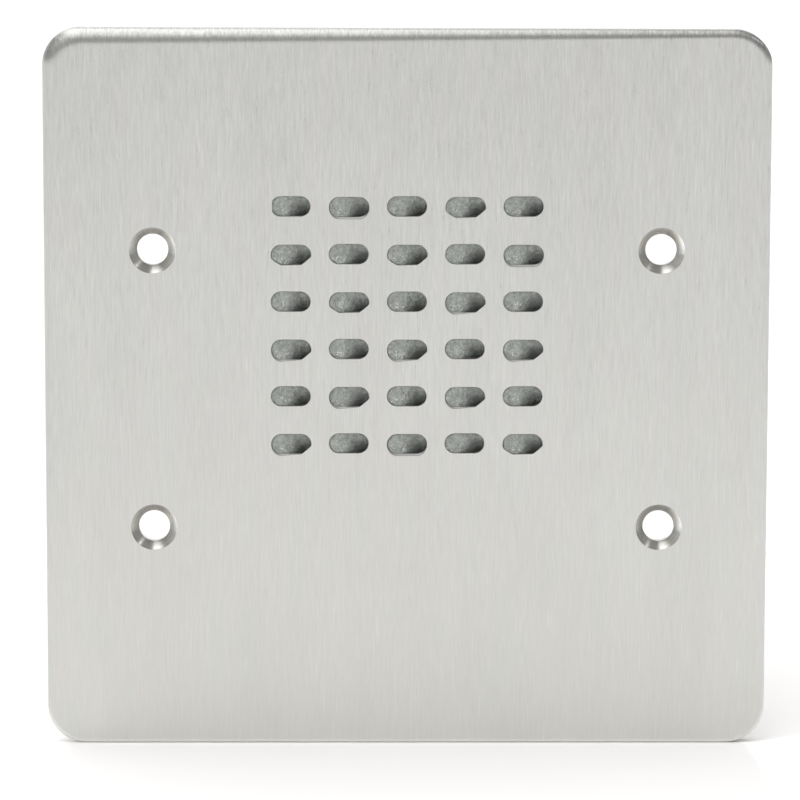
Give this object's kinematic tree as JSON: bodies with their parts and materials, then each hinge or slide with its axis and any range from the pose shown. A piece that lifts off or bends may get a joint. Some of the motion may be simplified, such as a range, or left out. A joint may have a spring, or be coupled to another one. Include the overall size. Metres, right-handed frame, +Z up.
{
  "type": "teller window intercom",
  "caption": "Flush wall intercom: square brushed steel plate with a grille of oblong slots over foam, and a speaker, microphone and amplifier board behind it.",
  "frame": {"origin": "centre of the four mounting holes, on the back face of the faceplate, which lies on the wall", "axes": "+X to the right and +Z up for someone facing the plate; +Y goes back into the wall box, and the front of the plate faces -Y"},
  "size_m": [0.119, 0.0512, 0.119],
  "materials": {
    "brushed_stainless": "vertical brushed stainless steel",
    "foam_grey": "open-cell grey acoustic foam",
    "stud_steel": "copper-flashed weld stud",
    "spacer_aluminium": "turned aluminium",
    "guard_black": "black painted pierced sheet",
    "gasket_rubber": "closed-cell rubber ring",
    "retainer_plastic": "black moulded plastic, fine texture",
    "frame_zinc": "zinc-plated pressed steel",
    "surround_cloth": "doped cloth",
    "cone_paper": "black pulp paper",
    "cap_paper": "pressed black paper",
    "former_foil": "aluminium foil",
    "coil_copper": "enamelled copper wire",
    "spider_cloth": "resin-stiffened cloth",
    "pole_steel": "zinc-plated steel",
    "magnet_ferrite": "sintered ferrite",
    "tag_board": "brown laminate",
    "rivet_brass": "brass",
    "tinned_metal": "tinned",
    "tinsel_braid": "braided copper tinsel",
    "boot_rubber": "black rubber",
    "capsule_can": "drawn aluminium can",
    "washer_steel": "zinc-plated spring steel",
    "standoff_nickel": "nickel-plated brass",
    "board_laminate": "green solder mask on glass laminate",
    "solder": "tin solder",
    "screw_zinc": "zinc-plated steel",
    "terminal_plastic": "green moulded plastic",
    "terminal_screw_steel": "zinc-plated steel",
    "clamp_nickel": "nickel-plated brass",
    "core_laminations": "varnished steel laminations",
    "bobbin_plastic": "black moulded plastic",
    "winding_tape": "yellow polyester tape",
    "can_sleeve": "shrunk plastic sleeve on an aluminium can",
    "film_box": "boxed film capacitor",
    "chip_epoxy": "black moulded epoxy",
    "resistor_lacquer": "lacquered ceramic rod",
    "trimmer_blue": "blue moulded plastic",
    "rotor_white": "white moulded plastic",
    "lead_red": "red insulated wire",
    "lead_black": "black insulated wire",
    "lead_grey": "grey screened cable"
  },
  "bodies": {
    "chassis": {"faceplate": "brushed_stainless", "acoustic_foam": "foam_grey", "weld_studs": "stud_steel", "stud_spacers": "spacer_aluminium", "guard_plate": "guard_black", "speaker_gasket": "gasket_rubber", "speaker_retainer": "retainer_plastic", "speaker_frame": "frame_zinc", "speaker_surround": "surround_cloth", "spider": "spider_cloth", "magnet_front_plate": "pole_steel", "magnet": "magnet_ferrite", "magnet_yoke": "pole_steel", "tag_strip": "tag_board", "tag_rivet": "rivet_brass", "solder_tags": "tinned_metal", "tinsel_leads": "tinsel_braid", "microphone_boot": "boot_rubber", "microphone_capsule": "capsule_can", "lock_washers": "washer_steel", "standoffs": "standoff_nickel", "circuit_board": "board_laminate", "solder_joints": "solder", "board_screws": "screw_zinc", "terminal_housing": "terminal_plastic", "terminal_contacts": "tinned_metal", "transformer_core": "core_laminations", "transformer_bobbin": "bobbin_plastic", "transformer_winding": "winding_tape", "transformer_pins": "tinned_metal", "electrolytic_capacitors": "can_sleeve", "film_capacitors": "film_box", "chip_bodies": "chip_epoxy", "chip_legs": "tinned_metal", "resistor_bodies": "resistor_lacquer", "resistor_leads": "tinned_metal", "trimmer_body": "trimmer_blue", "speaker_lead_red": "lead_red", "speaker_lead_black": "lead_black", "microphone_lead": "lead_grey"},
    "cone_assembly": {"speaker_cone": "cone_paper", "dust_cap": "cap_paper", "voice_coil_former": "former_foil", "voice_coil": "coil_copper"},
    "trimmer_rotor": {"trimmer_rotor": "rotor_white"},
    "terminal_screw_1": {"terminal_screw_1": "terminal_screw_steel"},
    "terminal_clamp_1": {"terminal_clamp_1": "clamp_nickel"},
    "terminal_screw_2": {"terminal_screw_2": "terminal_screw_steel"},
    "terminal_clamp_2": {"terminal_clamp_2": "clamp_nickel"},
    "terminal_screw_3": {"terminal_screw_3": "terminal_screw_steel"},
    "terminal_clamp_3": {"terminal_clamp_3": "clamp_nickel"},
    "terminal_screw_4": {"terminal_screw_4": "terminal_screw_steel"},
    "terminal_clamp_4": {"terminal_clamp_4": "clamp_nickel"},
    "terminal_screw_5": {"terminal_screw_5": "terminal_screw_steel"},
    "terminal_clamp_5": {"terminal_clamp_5": "clamp_nickel"}
  },
  "joints": [
    {"name": "speaker_cone_travel", "type": "slide", "parent": "chassis", "child": "cone_assembly", "axis": [0, 1, 0], "range_m": [-0.0006, 0.0006], "stiffness_N_per_m": 1500, "deforming": ["speaker_surround", "spider", "tinsel_leads"]},
    {"name": "gain_trimmer_turn", "type": "hinge", "parent": "chassis", "child": "trimmer_rotor", "pos_m": [0.02199, 0.0385, 0.00865], "axis": [0, -1, 0], "range_deg": [-135, 135]},
    {"name": "terminal_screw_1_turn", "type": "hinge", "parent": "chassis", "child": "terminal_screw_1", "pos_m": [-0.01016, 0.0423, -0.01534], "axis": [0, -1, 0], "range_deg": [0, 1440]},
    {"name": "terminal_clamp_1_rise", "type": "slide", "parent": "chassis", "child": "terminal_clamp_1", "axis": [0, 1, 0], "range_m": [0, 0.002]},
    {"name": "terminal_screw_2_turn", "type": "hinge", "parent": "chassis", "child": "terminal_screw_2", "pos_m": [-0.00508, 0.0423, -0.01534], "axis": [0, -1, 0], "range_deg": [0, 1440]},
    {"name": "terminal_clamp_2_rise", "type": "slide", "parent": "chassis", "child": "terminal_clamp_2", "axis": [0, 1, 0], "range_m": [0, 0.002]},
    {"name": "terminal_screw_3_turn", "type": "hinge", "parent": "chassis", "child": "terminal_screw_3", "pos_m": [0, 0.0423, -0.01534], "axis": [0, -1, 0], "range_deg": [0, 1440]},
    {"name": "terminal_clamp_3_rise", "type": "slide", "parent": "chassis", "child": "terminal_clamp_3", "axis": [0, 1, 0], "range_m": [0, 0.002]},
    {"name": "terminal_screw_4_turn", "type": "hinge", "parent": "chassis", "child": "terminal_screw_4", "pos_m": [0.00508, 0.0423, -0.01534], "axis": [0, -1, 0], "range_deg": [0, 1440]},
    {"name": "terminal_clamp_4_rise", "type": "slide", "parent": "chassis", "child": "terminal_clamp_4", "axis": [0, 1, 0], "range_m": [0, 0.002]},
    {"name": "terminal_screw_5_turn", "type": "hinge", "parent": "chassis", "child": "terminal_screw_5", "pos_m": [0.01016, 0.0423, -0.01534], "axis": [0, -1, 0], "range_deg": [0, 1440]},
    {"name": "terminal_clamp_5_rise", "type": "slide", "parent": "chassis", "child": "terminal_clamp_5", "axis": [0, 1, 0], "range_m": [0, 0.002]}
  ],
  "couplings": [
    {"joint": "terminal_screw_1_turn", "follows": "terminal_clamp_1_rise", "rad_per_m": 12566},
    {"joint": "terminal_screw_2_turn", "follows": "terminal_clamp_2_rise", "rad_per_m": 12566},
    {"joint": "terminal_screw_3_turn", "follows": "terminal_clamp_3_rise", "rad_per_m": 12566},
    {"joint": "terminal_screw_4_turn", "follows": "terminal_clamp_4_rise", "rad_per_m": 12566},
    {"joint": "terminal_screw_5_turn", "follows": "terminal_clamp_5_rise", "rad_per_m": 12566}
  ]
}
